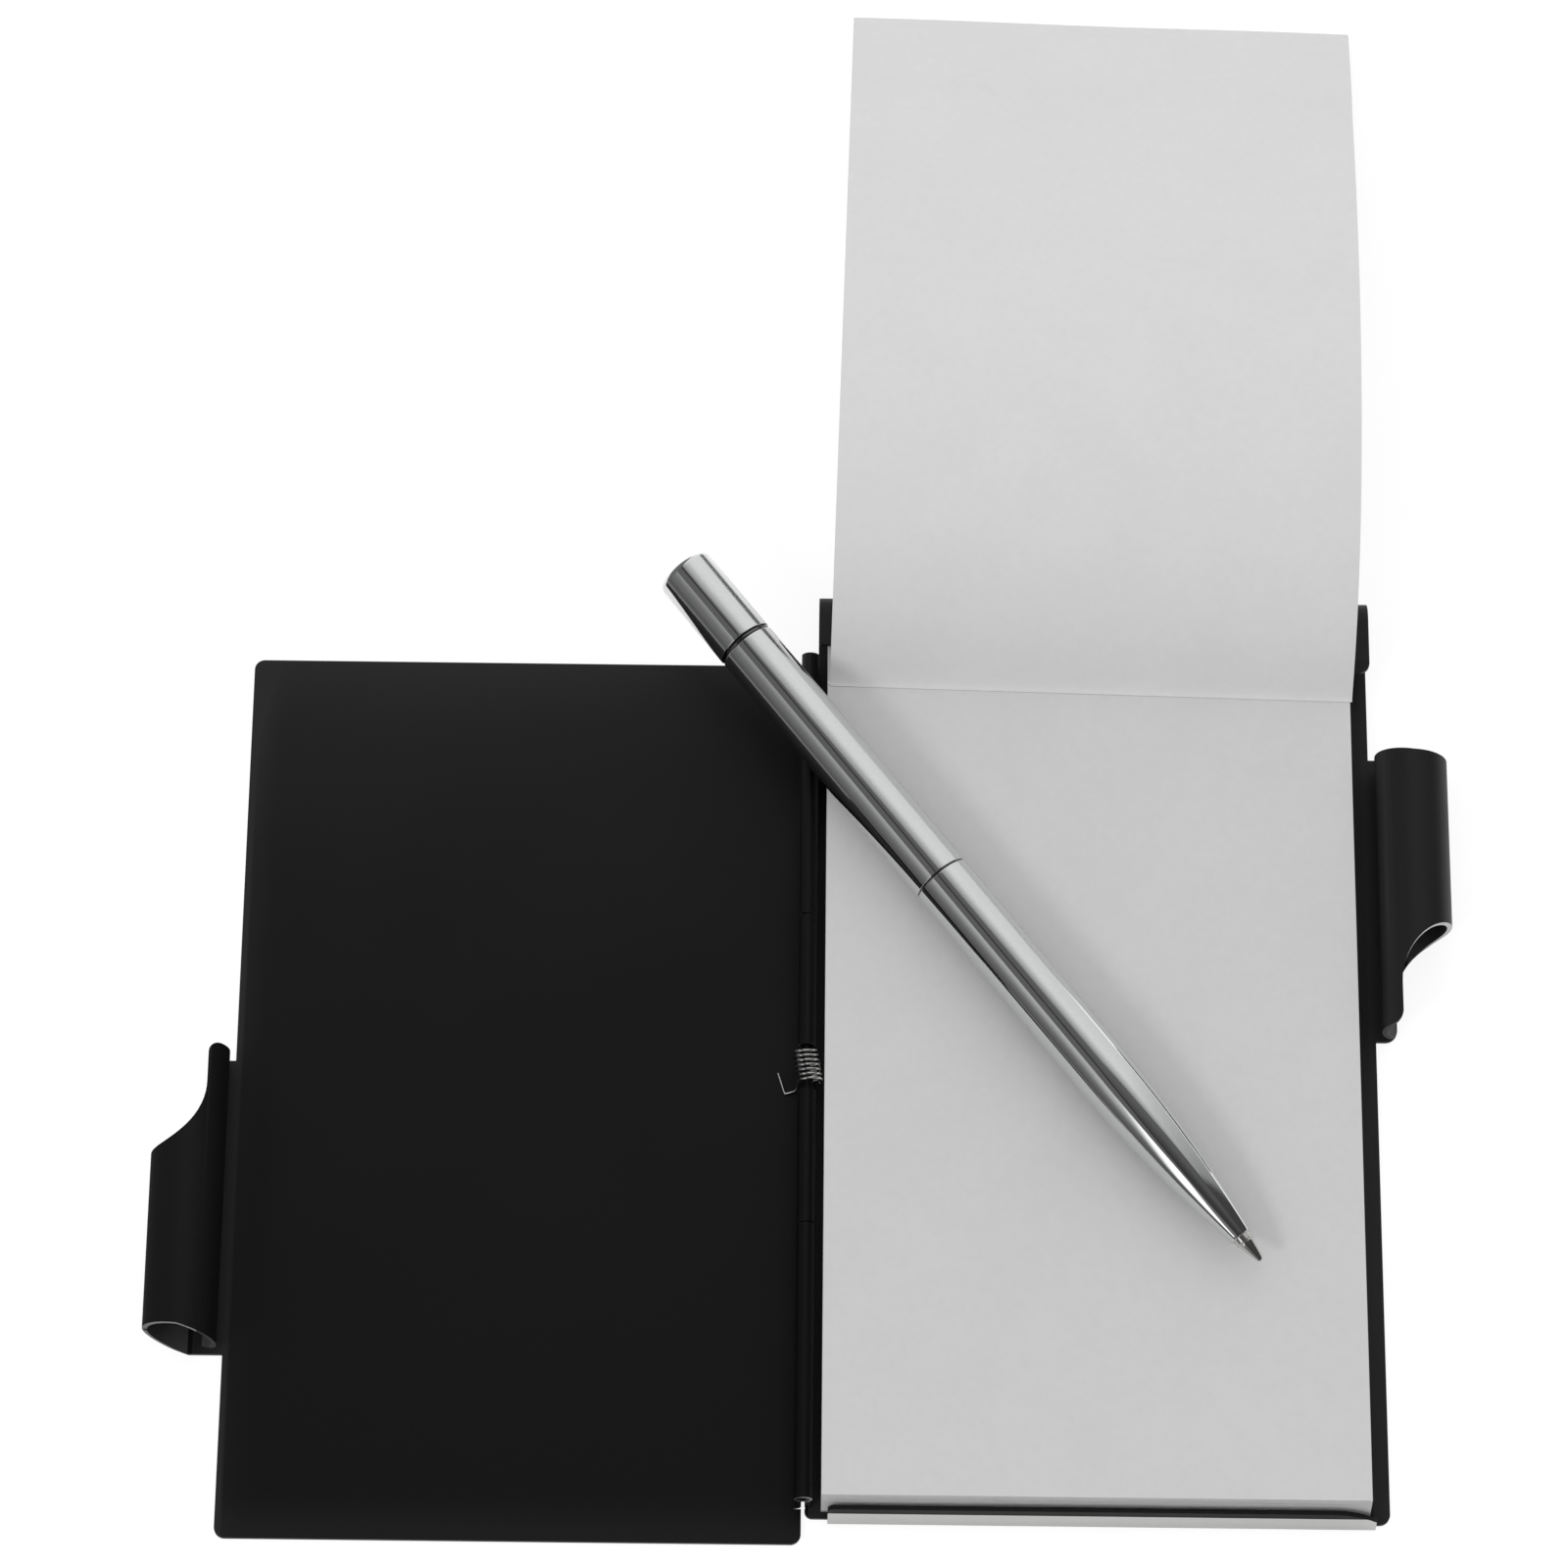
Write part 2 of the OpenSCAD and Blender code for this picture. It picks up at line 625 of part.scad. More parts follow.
module pen_lower_barrel() {
    guide_r = 1.9;
    color("#d9dbde") on_pen() difference() {
        rotate_extrude() polygon(concat([[0, joint_at], [pen_r, joint_at]],
            [for (i = [0 : nose_steps]) [nose_r(i / nose_steps), nose_at + nose_len * i / nose_steps]],
            [[0, pen_len]]));
        translate([0, 0, joint_at - over]) cylinder(h = thread_end - joint_at + over, r = bore_r);
        translate([0, 0, joint_at]) cylinder(h = guide_at - joint_at, r = guide_r);
        translate([0, 0, joint_at]) cylinder(h = pen_len - joint_at + over, r = mouth_bore_r);
    }
}

module thread_collar() {
    color("#c8a451") on_pen()
        pen_tube_piece(joint_at, thread_end - thread_relief, bore_r - push_fit, tube_out_r + push_fit);
}

module joint_ring() {
    color("#55585c") on_pen()
        pen_tube_piece(joint_at - joint_gap, joint_at, pen_r - groove, tube_out_r + push_fit);
}

module slotted_tube() {
    color("#c8a451") on_pen() difference() {
        pen_tube_piece(lug_at - refill_travel - slotted_tail, joint_at + slotted_grip,
            tube_out_r, tube_in_r);
        translate([0, -lug_r - slot_clear, lug_at - refill_travel - lug_r - slot_clear])
            cube([bore_r + over, 2 * (lug_r + slot_clear), refill_travel + 2 * (lug_r + slot_clear)]);
    }
}

module helix_sleeve() {
    half_turn_steps = 18;
    color("#b08f45") on_pen() difference() {
        pen_tube_piece(lug_at - refill_travel - helix_tail, lug_at + helix_head, sleeve_out_r, sleeve_in_r);
        for (i = [0 : half_turn_steps]) rotate([0, 0, -180 * i / half_turn_steps])
            translate([0, 0, lug_at - refill_travel * i / half_turn_steps])
                rotate([0, 90, 0]) cylinder(h = bore_r + over, r = lug_r + slot_clear);
    }
}

module refill_holder() {
    color("#e8e8e4") on_pen() difference() {
        union() {
            translate([0, 0, lug_at - lug_head])
                cylinder(h = refill_start + holder_grip - lug_at + lug_head, r = holder_r);
            translate([0, 0, lug_at]) rotate([0, 90, 0]) cylinder(h = sleeve_out_r - pen_clear, r = lug_r);
        }
        translate([0, 0, refill_start]) cylinder(h = holder_grip + over, r = refill_d / 2 + push_fit);
    }
}

module refill_tube() {
    color("#c6a15a") on_pen() pen_tube_piece(refill_start, shank_at, refill_d / 2, refill_d / 2 - 0.2);
}

module refill_point() {
    tip_r = ball_d * 0.6;
    tail_r = refill_d / 2 - 0.22;
    cone_at = pen_len + 0.8;
    cone_end = point_at - ball_d * 0.6;
    color("#c9c5bd") on_pen() difference() {
        rotate_extrude() polygon([[0, shank_at - shank_tail], [tail_r, shank_at - shank_tail],
            [tail_r, shank_at], [refill_d / 2, shank_at], [refill_d / 2, cone_at],
            [refill_d / 2 - 0.15, cone_at + 0.05], [tip_r, cone_end], [0, cone_end]]);
        translate([0, 0, point_at - ball_d / 2]) sphere(ball_d / 2 + 0.01);
    }
}

module writing_ball() {
    color("#8c8f94") on_pen() translate([0, 0, point_at - ball_d / 2]) sphere(ball_d / 2);
}

back_shell();
front_cover();
hinge_pin();
torsion_spring();
pad_card();
paper_block();
pad_glue();
turned_sheet();
pen_lower_barrel();
pen_upper_barrel();
pen_cap();
pen_cap_ring();
joint_ring();
thread_collar();
slotted_tube();
helix_sleeve();
refill_holder();
refill_tube();
refill_point();
writing_ball();
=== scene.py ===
"""Looks of the pocket notepad case: black lacquered sheet metal, a paper pad with one sheet turned,
a chrome pen. Lengths are in metres; a group of constants or a docstring says so where they are not."""
import math
from functools import partial, reduce

import bmesh
import bpy
import numpy as np
from mathutils import Matrix


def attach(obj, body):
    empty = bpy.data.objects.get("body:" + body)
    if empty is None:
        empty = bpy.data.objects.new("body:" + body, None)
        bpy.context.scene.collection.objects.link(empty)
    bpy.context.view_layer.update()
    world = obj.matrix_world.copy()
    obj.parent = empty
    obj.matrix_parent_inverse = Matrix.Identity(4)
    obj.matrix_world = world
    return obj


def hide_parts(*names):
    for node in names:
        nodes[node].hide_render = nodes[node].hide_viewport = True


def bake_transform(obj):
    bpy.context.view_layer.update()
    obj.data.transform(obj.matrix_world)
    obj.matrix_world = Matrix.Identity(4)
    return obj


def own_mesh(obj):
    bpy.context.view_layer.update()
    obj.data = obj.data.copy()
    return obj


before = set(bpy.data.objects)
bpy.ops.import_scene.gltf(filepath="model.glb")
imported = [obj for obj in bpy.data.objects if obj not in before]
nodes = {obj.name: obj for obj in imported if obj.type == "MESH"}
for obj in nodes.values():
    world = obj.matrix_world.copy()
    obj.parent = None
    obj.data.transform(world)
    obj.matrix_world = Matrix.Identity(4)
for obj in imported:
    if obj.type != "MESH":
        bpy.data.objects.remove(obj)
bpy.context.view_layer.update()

# The case, as in the part's own drawing: x across, y towards the head, z up
HINGE_X, HINGE_Z = -0.0333, 0.00425
SHEET = 0.0006
LEAF_EDGE = 0.0664
COVER_TOP, BACK_BOTTOM = 0.0487, 0.0558
TUBE_X, TUBE_Z, BORE = 0.07103, 0.00425, 0.00365
BROKEN_EDGE = 0.00007

# The pad, the sheet turned over its clamp, and the spring's wire
PAD_X0, PAD_X1 = -0.03125, 0.03075
PAD_FOOT, PAD_HEAD, PAD_Z0, PAD_Z1 = -0.05505, 0.0533, 0.0011, 0.00483
PAD_FAN, SHEET_PAPER = 0.0009, 0.00012
FOLD_Y, FOLD_Z = 0.0441, 0.00489
PAGE_W, PAGE_SKEW = 0.062, math.radians(-1.5)
PAGE_MID, FOLD_LEFT, FOLD_RIGHT = -0.00002, 0.0005, 0.00017
COIL_R, WIRE_R = 0.00135, 0.00015

# Where the pen lies: the point of its axis that is over the hinge, its turn and dip, and how far its cap
# end lies past that point
PEN_AT = np.array((HINGE_X, 0.0381, 0.00889))
PEN_TURN, PEN_DIP = math.radians(38.4), math.radians(0.45)
PEN_OVER = 0.0246

# The pen's outside, as stations from its cap end and radii in millimetres
MM = 0.001
PEN_R, MOUTH_R, REFILL_R, BALL_R = 3.5, 1.3, 1.1, 0.35
CAP_LEN, RING_W, JOINT_AT, JOINT_W = 12.0, 0.6, 49.6, 0.2
NOSE_LEN, PEN_LEN, POINT_AT = 25.2, 104.4, 107.9
NOSE_AT = PEN_LEN - NOSE_LEN
DOME, EDGE, LIP = 0.8, 0.07, 0.16
RING_DOWN, RING_ROUND, RING_PLAY = 0.16, 0.2, 0.01

# The pen's inside in millimetres: the cap, the joint, the two barrels' bores, and the writing point
BORE_R, CAP_FLOOR = 3.0, 1.2
JOINT_R, JOINT_CORE = PEN_R - 0.2, 2.4
SLEEVE_AT, SLEEVE_R, SLEEVE_BORE, SHOULDER = 4, BORE_R - 0.02, BORE_R - 0.52, 0.5
CORE_AT, CORE_R, GUIDE_LEN, GUIDE_R = 10, 1.9, 14, REFILL_R + 0.06
SHANK_AT, STEP_AT, SHANK_R = PEN_LEN - 10.5, PEN_LEN - 6.5, REFILL_R - 0.22
BRIM, NECK_AT, NECK_R, TAPER, SEAT_R = 0.1, PEN_LEN + 0.9, REFILL_R - 0.18, 1.15, 0.22

# The turned sheet's arch in millimetres: a cubic curve's four points as (y, z) from the fold
ARCH = np.array(((0, 0), (13, 15), (40, 18.5), (92.5, -4.73)))
FOLD_ROUND, ROUND_FADE = 0.8, 6

# The photo's camera
CAMERA_TILT, CAMERA_YAW, CAMERA_ROLL = (math.radians(a) for a in (21.91, -0.379, 1.033))
CAMERA_AT = (-0.0380, -0.2232, 0.6389)
SENSOR, FOCAL_PIXELS, PHOTO_PIXELS = 36, 5916, 1600

# Light levels: the even sky and the soft sun, then what reflections show, then the floor
SKY_LEVEL, SKY_LEAN = 0.87, 0.40
KEY_LEVEL, KEY_ANGLE, KEY_WAY = 0.67, math.radians(14), np.array((-0.561, -0.505, 0.656))
TENT_LOW, TENT_RISE, TENT_TOP, TENT_RIGHT = 0.38, 0.44, 0.1, -0.05
CEILING, CEILING_FRONT, DARK_FRONT, SEAM = 0.135, 0.05, 0.06, 0.03
PANEL, PANEL_LIFT, PANEL_GLOW = 0.105, 1.7, 0.40
LAMP_BOX, LAMP_WAY = 1.5, (0.710, -0.687, 0.1535)
LEFT_AT, CEILING_Z = -0.12, 0.765
FLOOR_SIZE, FLOOR_GLOW, FLOOR_BACK, FLOOR_SEEN, FLOOR_WHITE = 3.0, 0.06, 0.35, 0.2, 1.06


def placement(side, up, back, at=(0, 0, 0)):
    """The matrix of an object from its three axes and its place."""
    place = np.eye(4)
    place[:3] = np.column_stack((side, up, back, at))
    return Matrix(place.tolist())


def set_camera():
    """The camera looks down at 22 degrees from the vertical, from the foot of the case."""
    tilt, yaw, roll = CAMERA_TILT, CAMERA_YAW, CAMERA_ROLL
    turn = np.array(((math.cos(yaw), -math.sin(yaw), 0), (math.sin(yaw), math.cos(yaw), 0), (0, 0, 1)))
    forward = turn @ np.array((0, math.sin(tilt), -math.cos(tilt)))
    up = turn @ np.array((0, math.cos(tilt), math.sin(tilt)))
    right = turn @ np.array((1.0, 0, 0))
    side = math.cos(roll) * right + math.sin(roll) * up
    top = -math.sin(roll) * right + math.cos(roll) * up
    data = bpy.data.cameras.new("camera")
    data.sensor_width = SENSOR
    data.lens = SENSOR * FOCAL_PIXELS / PHOTO_PIXELS
    data.clip_start, data.clip_end = 0.01, 20
    camera = bpy.data.objects.new("camera", data)
    camera.matrix_world = placement(side, top, -forward, CAMERA_AT)
    bpy.context.scene.collection.objects.link(camera)
    bpy.context.scene.camera = camera


set_camera()
bpy.context.scene.view_settings.view_transform = "Standard"


# Shader helpers

def feed(tree, value, socket):
    """Links a socket to another, or sets it to a number, a vector or a colour."""
    if isinstance(value, bpy.types.NodeSocket):
        tree.links.new(value, socket)
    elif isinstance(value, tuple) and socket.type == "RGBA":
        socket.default_value = (*value, 1.0)
    else:
        socket.default_value = value


def feed_all(tree, made, **values):
    """Feeds a node's inputs by name, with a low line for each space."""
    for name, value in values.items():
        feed(tree, value, made.inputs[name.replace("_", " ")])


def node(tree, kind, **settings):
    """A shader node; each setting is one of the node's own properties, or feeds the input of that name."""
    made = tree.nodes.new(kind)
    for name, value in settings.items():
        if hasattr(made, name):
            setattr(made, name, value)
        else:
            feed_all(tree, made, **{name: value})
    return made


def object_point(tree):
    """The socket of the point in the piece's own coordinates, which are the frame's."""
    return node(tree, "ShaderNodeTexCoord").outputs["Object"]


def parts_of(tree, vector):
    """The three sockets of a vector's x, y and z."""
    return node(tree, "ShaderNodeSeparateXYZ", Vector=vector).outputs


def noise(tree, place, **settings):
    """The value of a noise texture at a place."""
    return node(tree, "ShaderNodeTexNoise", Vector=place, **settings).outputs["Fac"]


class Maths:
    """Arithmetic in one tree, on numbers and sockets; each method returns the socket of its result."""

    def __init__(self, tree):
        self.tree = tree

    def of(self, operation, *values):
        made = node(self.tree, "ShaderNodeMath", operation=operation)
        for socket, value in zip(made.inputs, values):
            feed(self.tree, value, socket)
        return made.outputs[0]

    def plus(self, *values):
        return reduce(partial(self.of, "ADD"), values)

    def times(self, *values):
        return reduce(partial(self.of, "MULTIPLY"), values)

    def most(self, *values):
        return reduce(partial(self.of, "MAXIMUM"), values)

    def minus(self, a, b):
        return self.of("SUBTRACT", a, b)

    def line(self, a, rate, start):
        """start + rate * a"""
        return self.of("MULTIPLY_ADD", a, rate, start)

    def size(self, a):
        return self.of("ABSOLUTE", a)

    def over(self, a, limit):
        return self.of("GREATER_THAN", a, limit)

    def under(self, a, limit):
        return self.of("LESS_THAN", a, limit)

    def far(self, a, b):
        """The length of (a, b)."""
        return self.of("SQRT", self.plus(self.times(a, a), self.times(b, b)))

    def share(self, value, low, high, out_low=0.0, out_high=1.0, smooth=True):
        """Maps a value from one range to another, held at both ends."""
        made = node(self.tree, "ShaderNodeMapRange", Value=value, From_Min=low, From_Max=high,
                    To_Min=out_low, To_Max=out_high)
        made.interpolation_type = "SMOOTHSTEP" if smooth else "LINEAR"
        return made.outputs["Result"]

    def mix(self, factor, a, b):
        """A value between a and b."""
        made = node(self.tree, "ShaderNodeMix", data_type="FLOAT")
        for socket, value in ((0, factor), (2, a), (3, b)):
            feed(self.tree, value, made.inputs[socket])
        return made.outputs[0]

    def tint(self, factor, a, b, kind="MIX"):
        """A colour between a and b, or a brought together with b in another way."""
        made = node(self.tree, "ShaderNodeMix", data_type="RGBA", blend_type=kind)
        for socket, value in ((0, factor), (6, a), (7, b)):
            feed(self.tree, value, made.inputs[socket])
        return made.outputs[2]


def group(name, inputs, outputs):
    """A shader node group of numbers: inputs by name with their defaults, and the names of its outputs."""
    tree = bpy.data.node_groups.new(name, "ShaderNodeTree")
    number = "NodeSocketFloat"
    for title, value in inputs.items():
        tree.interface.new_socket(title, in_out="INPUT", socket_type=number).default_value = value
    for title in outputs:
        tree.interface.new_socket(title, in_out="OUTPUT", socket_type=number)
    return tree, tree.nodes.new("NodeGroupInput").outputs, tree.nodes.new("NodeGroupOutput").inputs


def use(tree, shared, **values):
    """Places a shared effect in a material with its own values, and returns its outputs."""
    return node(tree, "ShaderNodeGroup", node_tree=shared, **values).outputs


def lacquer_grain():
    """Sprayed lacquer: noise at two scales gives a colour factor, a roughness and a height, and a few of the
    cells of a Voronoi texture hold a speck of lint."""
    tree, given, out = group("lacquer_grain", {"Grain": 9000.0, "Roughness": 0.42, "Lint": 0.0},
                             ("Shade", "Roughness", "Height", "Lint"))
    m = Maths(tree)
    place = object_point(tree)
    uneven, speck_in, speck_out, chosen = 0.06, 0.008, 0.014, 0.93
    fine = noise(tree, place, Scale=given["Grain"], Detail=3.0)
    cloud = m.share(noise(tree, place, Scale=45.0, Detail=4.0), 0.3, 0.7, -uneven, uneven)
    cells = node(tree, "ShaderNodeTexVoronoi", Vector=place, Scale=42.0).outputs
    speck = m.share(cells["Distance"], speck_in, speck_out, 1.0, 0.0)
    feed(tree, m.plus(cloud, m.share(fine, 0.2, 0.8, 0.9, 1.1)), out["Shade"])
    feed(tree, m.plus(given["Roughness"], cloud), out["Roughness"])
    feed(tree, fine, out["Height"])
    feed(tree, m.times(speck, m.over(cells["Color"], chosen), given["Lint"]), out["Lint"])
    return tree


def painted_light_on_lacquer():
    """Painted light on the lacquer. Painted sheen falls off from the cover's top edge as (1 + distance /
    depth) to the power fade. Narrower bands of painted sheen follow the outer and bottom edges, the back
    leaf's border beside the pad, and the clamp; painted light lifts the shade in the gap between hinge and
    pad and in the creases beside the tubes. Inside marks the tubes' bores."""
    tree, given, out = group("painted_light_on_lacquer", {"Edge": 1.0}, ("PaintedLight", "Inside"))
    m = Maths(tree)
    x, y, z = parts_of(tree, object_point(tree))
    across = m.size(m.minus(x, HINGE_X))
    on_back = m.over(x, HINGE_X)

    # Painted sheen: lighter grey bands at the cover's top edge, its outer and bottom edges and the back
    # leaf's border beside the pad
    depth, fade = 0.014, -1.5
    below = m.most(m.minus(COVER_TOP, y), 0.0)
    top = m.times(m.of("POWER", m.line(below, 1 / depth, 1.0), fade), m.minus(1.0, on_back))
    side_from, side_to, side_curve = LEAF_EDGE - 0.0055, LEAF_EDGE - 0.0003, 2.5
    side = m.times(m.of("POWER", m.share(across, side_from, side_to), side_curve), m.line(top, 0.9, 0.12))
    foot_from, foot_to, foot_curve, foot_level = -0.052, -0.0585, 1.6, 0.33
    foot = m.times(m.of("POWER", m.share(y, foot_from, foot_to), foot_curve), foot_level)
    beside_pad, border_head, border_foot = 0.0645, 0.6, 1.6
    border = m.times(on_back, m.share(y, 0.0, -0.02, border_head, border_foot), m.over(across, beside_pad))

    # Painted sheen at the clamp, and painted light that lifts the shade in the gap between hinge and pad and
    # in the creases beside the tubes
    clamp_from, clamp_to = 0.0482, 0.0487
    clamp = m.times(on_back, m.share(y, clamp_from, clamp_to))
    gap_level, gap_from, gap_to, knuckle_side, under_pin = 2.6, 0.0030, 0.0033, HINGE_X + 0.0006, 0.0036
    gap = m.times(m.share(across, gap_from, gap_to, gap_level, 0.0), m.under(z, under_pin),
                  m.over(x, knuckle_side))
    crease_level, crease_from, tube_side, under_tube = 1.6, LEAF_EDGE - 0.001, TUBE_X - 0.0012, 0.0035
    crease = m.times(m.share(across, crease_from, LEAF_EDGE, 0.0, crease_level),
                     m.under(across, tube_side), m.under(z, under_tube))
    painted_glow = m.plus(top, side, foot, border, m.most(clamp, gap, crease))
    feed(tree, m.times(painted_glow, given["Edge"]), out["PaintedLight"])

    # The tubes' bores, where the lacquer is lightened with painted light
    from_axis, skin_depth = m.far(m.minus(across, TUBE_X), m.minus(z, TUBE_Z)), 0.00006
    feed(tree, m.under(from_axis, BORE + skin_depth), out["Inside"])
    return tree


def cut_metal():
    """Mask of the bare metal where the sheet was sheared: the end faces of the tubes, which lie further than
    Reach from the hinge, the end faces of its knuckles, and the lip's outer plate."""
    tree, given, out = group("cut_metal", {"Reach": 0.0688}, ("Mask",))
    m = Maths(tree)
    x, y, z = parts_of(tree, object_point(tree))
    from_hinge = m.minus(x, HINGE_X)
    across = m.size(from_hinge)
    facing = parts_of(tree, node(tree, "ShaderNodeNewGeometry").outputs["True Normal"])
    end_on = m.size(facing[1])

    upright, along_tube, over_leaf = 0.3, 0.16, 0.0007
    tube = m.times(m.under(m.size(facing[2]), upright), m.over(end_on, along_tube),
                   m.over(across, given["Reach"]), m.over(z, over_leaf))
    roll_out, roll_in, roll_foot, square_on = 0.0012, 0.00082, 0.0034, 0.9
    from_pin = m.far(from_hinge, m.minus(z, HINGE_Z))
    knuckle = m.times(m.under(across, roll_out), m.over(from_pin, roll_in), m.over(z, roll_foot),
                      m.over(end_on, square_on))
    beyond, outward, clear_of_hinge = -BACK_BOTTOM - 0.00002, -0.5, HINGE_X + 0.002
    lip = m.times(m.under(y, beyond), m.under(facing[1], outward),
                  m.over(z, SHEET), m.over(x, clear_of_hinge))
    feed(tree, m.most(tube, knuckle, lip), out["Mask"])
    return tree


LACQUER, PAINTED_LIGHT, CUT = lacquer_grain(), painted_light_on_lacquer(), cut_metal()


def material(name):
    """A new material with one Principled shader; returns the material, its tree and the shader."""
    made = bpy.data.materials.new(name)
    made.use_nodes = True
    return made, made.node_tree, made.node_tree.nodes["Principled BSDF"]


def bump(tree, shader, height, distance):
    """Feeds a height to the shader's normal."""
    made = node(tree, "ShaderNodeBump", Height=height, Distance=distance)
    feed(tree, made.outputs[0], shader.inputs["Normal"])


def toned(colour, share):
    """A colour that is darker or lighter by a share, held at white."""
    return tuple(min(1.0, c * share) for c in colour)


def black_lacquer(name, base, lint):
    """Black lacquer on steel, bare where the sheet was cut after spraying, with painted light inside the
    tubes' bores and painted sheen near edges, clamp, hinge gap and tube creases.
    """
    # Painted light: a lighter grey inside the tubes' bores, and a grey added as painted sheen and lifted
    # shade
    painted_bore_light, painted_sheen_grey = (0.04, 0.04, 0.041), (0.0145, 0.0145, 0.0148)
    fibre, steel, smoother = (0.12, 0.12, 0.12), (0.62, 0.62, 0.61), -0.08
    made, tree, shader = material(name)
    m = Maths(tree)
    grain = use(tree, LACQUER, Grain=7000.0, Roughness=0.42, Lint=lint)
    painted_light_marks, cut = use(tree, PAINTED_LIGHT), use(tree, CUT)["Mask"]
    lacquer_and_bore_light = m.tint(painted_light_marks["Inside"], m.tint(1.0, base, grain["Shade"], "MULTIPLY"), painted_bore_light)
    # The painted sheen and the lifted shade are added to the lacquer's colour here
    with_painted_light = m.tint(1.0, lacquer_and_bore_light, m.tint(painted_light_marks["PaintedLight"], (0.0, 0.0, 0.0), painted_sheen_grey), "ADD")
    feed_all(tree, shader, Base_Color=m.tint(cut, m.tint(grain["Lint"], with_painted_light, fibre), steel), Metallic=cut,
             Roughness=m.line(cut, smoother, grain["Roughness"]), Specular_IOR_Level=0.2)
    bump(tree, shader, grain["Height"], 0.000004)
    return made


def metal(name, colour, roughness, scratch):
    """Bare or plated metal: fine noise varies its roughness, tint and height."""
    made, tree, shader = material(name)
    m = Maths(tree)
    fine = noise(tree, object_point(tree), Scale=3000.0, Detail=4.0)
    feed_all(tree, shader, Metallic=1.0,
             Roughness=m.share(fine, 0.25, 0.75, roughness * 0.8, roughness * 1.25),
             Base_Color=m.tint(m.share(fine, 0.3, 0.7), toned(colour, 0.96), colour))
    bump(tree, shader, fine, scratch)
    return made


def paper(name, colour):
    """Writing paper: mottled pulp at two scales, with a soft tooth."""
    made, tree, shader = material(name)
    m = Maths(tree)
    place = object_point(tree)
    pulp = noise(tree, place, Scale=900.0, Detail=6.0, Roughness=0.6)
    cloud = noise(tree, place, Scale=120.0, Detail=3.0)
    mottle = m.share(m.plus(m.times(pulp, 0.6), m.times(cloud, 0.4)), 0.3, 0.7)
    feed_all(tree, shader, Base_Color=m.tint(mottle, toned(colour, 0.975), toned(colour, 1.015)),
             Roughness=0.85, Specular_IOR_Level=0.25, Sheen_Weight=0.05)
    bump(tree, shader, pulp, 0.00001)
    return made


def grey_board(name, colour):
    """Grey board with darker fibres."""
    made, tree, shader = material(name)
    m = Maths(tree)
    fibre = noise(tree, object_point(tree), Scale=1500.0, Detail=5.0)
    feed_all(tree, shader, Roughness=0.9,
             Base_Color=m.tint(m.share(fibre, 0.35, 0.65), toned(colour, 0.7), colour))
    bump(tree, shader, fibre, 0.00003)
    return made


def dried_glue(name, colour):
    """Rubbery padding glue with brush streaks along the pad's head."""
    made, tree, shader = material(name)
    drawn_out = node(tree, "ShaderNodeMapping", Vector=object_point(tree), Scale=(0.1, 1.0, 1.0)).outputs[0]
    streak = noise(tree, drawn_out, Scale=600.0, Detail=2.0)
    feed_all(tree, shader, Base_Color=Maths(tree).tint(streak, toned(colour, 0.85), colour), Roughness=0.45)
    bump(tree, shader, streak, 0.00004)
    return made


def moulded(name, colour):
    """Natural moulded plastic with faint flow marks."""
    made, tree, shader = material(name)
    m = Maths(tree)
    flow = noise(tree, object_point(tree), Scale=700.0, Detail=2.0)
    feed_all(tree, shader, Base_Color=m.tint(flow, toned(colour, 0.93), colour),
             Roughness=m.share(flow, 0.3, 0.7, 0.35, 0.45))
    return made


BLACK = black_lacquer("black_lacquer", (0.0026, 0.0026, 0.0028), 0.8)
CHROME = metal("chrome_plate", (0.74, 0.745, 0.75), 0.05, 0.0000004)
DARK_RING = metal("dark_ring", (0.14, 0.14, 0.145), 0.15, 0.000001)
STEEL = metal("bright_wire", (0.8, 0.8, 0.78), 0.07, 0.0000002)
# The pin is darker than bare steel, darkened to the tone it shows inside the hinge
PIN = metal("darkened_pin", (0.035, 0.035, 0.04), 0.35, 0.000002)
NICKEL = metal("nickel_silver", (0.68, 0.67, 0.65), 0.1, 0.0000005)
BRASS = metal("turned_brass", (0.68, 0.5, 0.2), 0.25, 0.000002)
CARBIDE = metal("ground_carbide", (0.35, 0.35, 0.36), 0.12, 0.0000005)
PAPER = paper("pad_paper", (0.58, 0.58, 0.58))
# The turned sheet and its root are the same paper as the pad; their lighter colour is painted light
PAGE_PAINTED_LIGHTER = paper("page_paper_painted_lighter", (0.66, 0.66, 0.66))
BOARD = grey_board("grey_board", (0.42, 0.4, 0.37))
GLUE = dried_glue("padding_glue", (0.7, 0.68, 0.6))
NATURAL = moulded("natural_plastic", (0.75, 0.75, 0.72))

NODE_FINISH = {
    "back_shell": BLACK, "front_cover": BLACK, "hinge_pin": PIN, "torsion_spring": STEEL, "pad_card": BOARD,
    "paper_block": PAPER, "pad_glue": GLUE, "turned_sheet": PAGE_PAINTED_LIGHTER, "pen_lower_barrel": CHROME,
    "pen_upper_barrel": CHROME, "pen_cap": CHROME, "pen_cap_ring": DARK_RING, "joint_ring": DARK_RING,
    "thread_collar": BRASS, "slotted_tube": BRASS, "helix_sleeve": BRASS, "refill_holder": NATURAL,
    "refill_tube": BRASS, "refill_point": NICKEL, "writing_ball": CARBIDE,
}
for name, finish in NODE_FINISH.items():
    nodes[name].data.materials.clear()
    nodes[name].data.materials.append(finish)


# New surfaces

def shown(name, mesh, finish, crease):
    """A scene object for a mesh, in one finish and smooth but for edges sharper than crease in degrees."""
    mesh.materials.append(finish)
    mesh.polygons.foreach_set("use_smooth", np.ones(len(mesh.polygons), dtype=bool))
    mesh.set_sharp_from_angle(angle=math.radians(crease))
    made = bpy.data.objects.new(name, mesh)
    bpy.context.scene.collection.objects.link(made)
    return made


